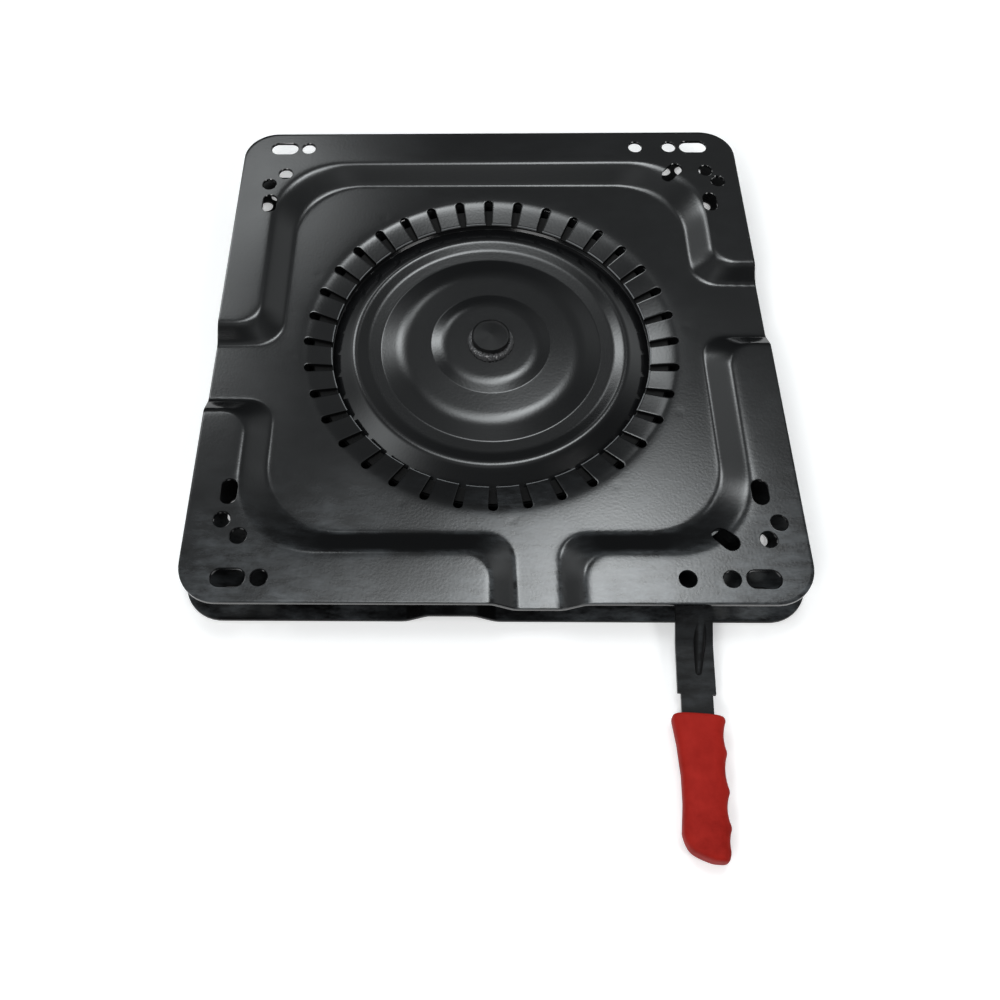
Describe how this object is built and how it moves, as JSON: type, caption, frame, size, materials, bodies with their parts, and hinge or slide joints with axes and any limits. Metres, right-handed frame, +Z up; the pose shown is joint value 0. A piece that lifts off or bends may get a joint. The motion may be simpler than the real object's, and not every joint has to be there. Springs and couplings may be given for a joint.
{
  "type": "swivel seat base",
  "caption": "Low square swivel base for a camper seat: two pressed steel plates that turn on each other about a dished disc, with a front lever and moulded grip that locks the turn.",
  "frame": {"origin": "on the swivel axis, in the plane the lower plate's pads rest on", "axes": "+Z up along the swivel axis, +Y to the back, away from the lever, +X to the right seen from the lever's end"},
  "size_m": [0.365, 0.5006, 0.028],
  "materials": {
    "black_paint": "semi-gloss",
    "lever_paint": "satin",
    "red_grip": "matte",
    "zinc_steel": "zinc plated",
    "glide_plastic": "black nylon"
  },
  "bodies": {
    "base": {"lower_plate": "black_paint", "swivel_disc": "black_paint", "center_pin": "black_paint", "upper_glide_ring": "glide_plastic", "lower_glide_ring": "glide_plastic", "lever_pivot_rivet": "zinc_steel", "pivot_washer_lower": "zinc_steel", "pivot_washer_upper": "zinc_steel", "spring_post": "zinc_steel", "lever_spring": "zinc_steel", "lever_guide": "black_paint", "guide_rivets": "zinc_steel"},
    "upper": {"upper_plate": "black_paint", "retaining_ring": "black_paint"},
    "lever": {"lock_lever": "lever_paint", "lever_grip": "red_grip"}
  },
  "joints": [
    {"name": "swivel", "type": "hinge", "parent": "base", "child": "upper", "pos_m": [0, 0, 0], "axis": [0, 0, 1], "continuous": true},
    {"name": "lever_pivot", "type": "hinge", "parent": "base", "child": "lever", "pos_m": [0.118, -0.116, 0], "axis": [0, 0, 1], "range_deg": [0, 6.2], "deforming": ["lever_spring"]}
  ]
}
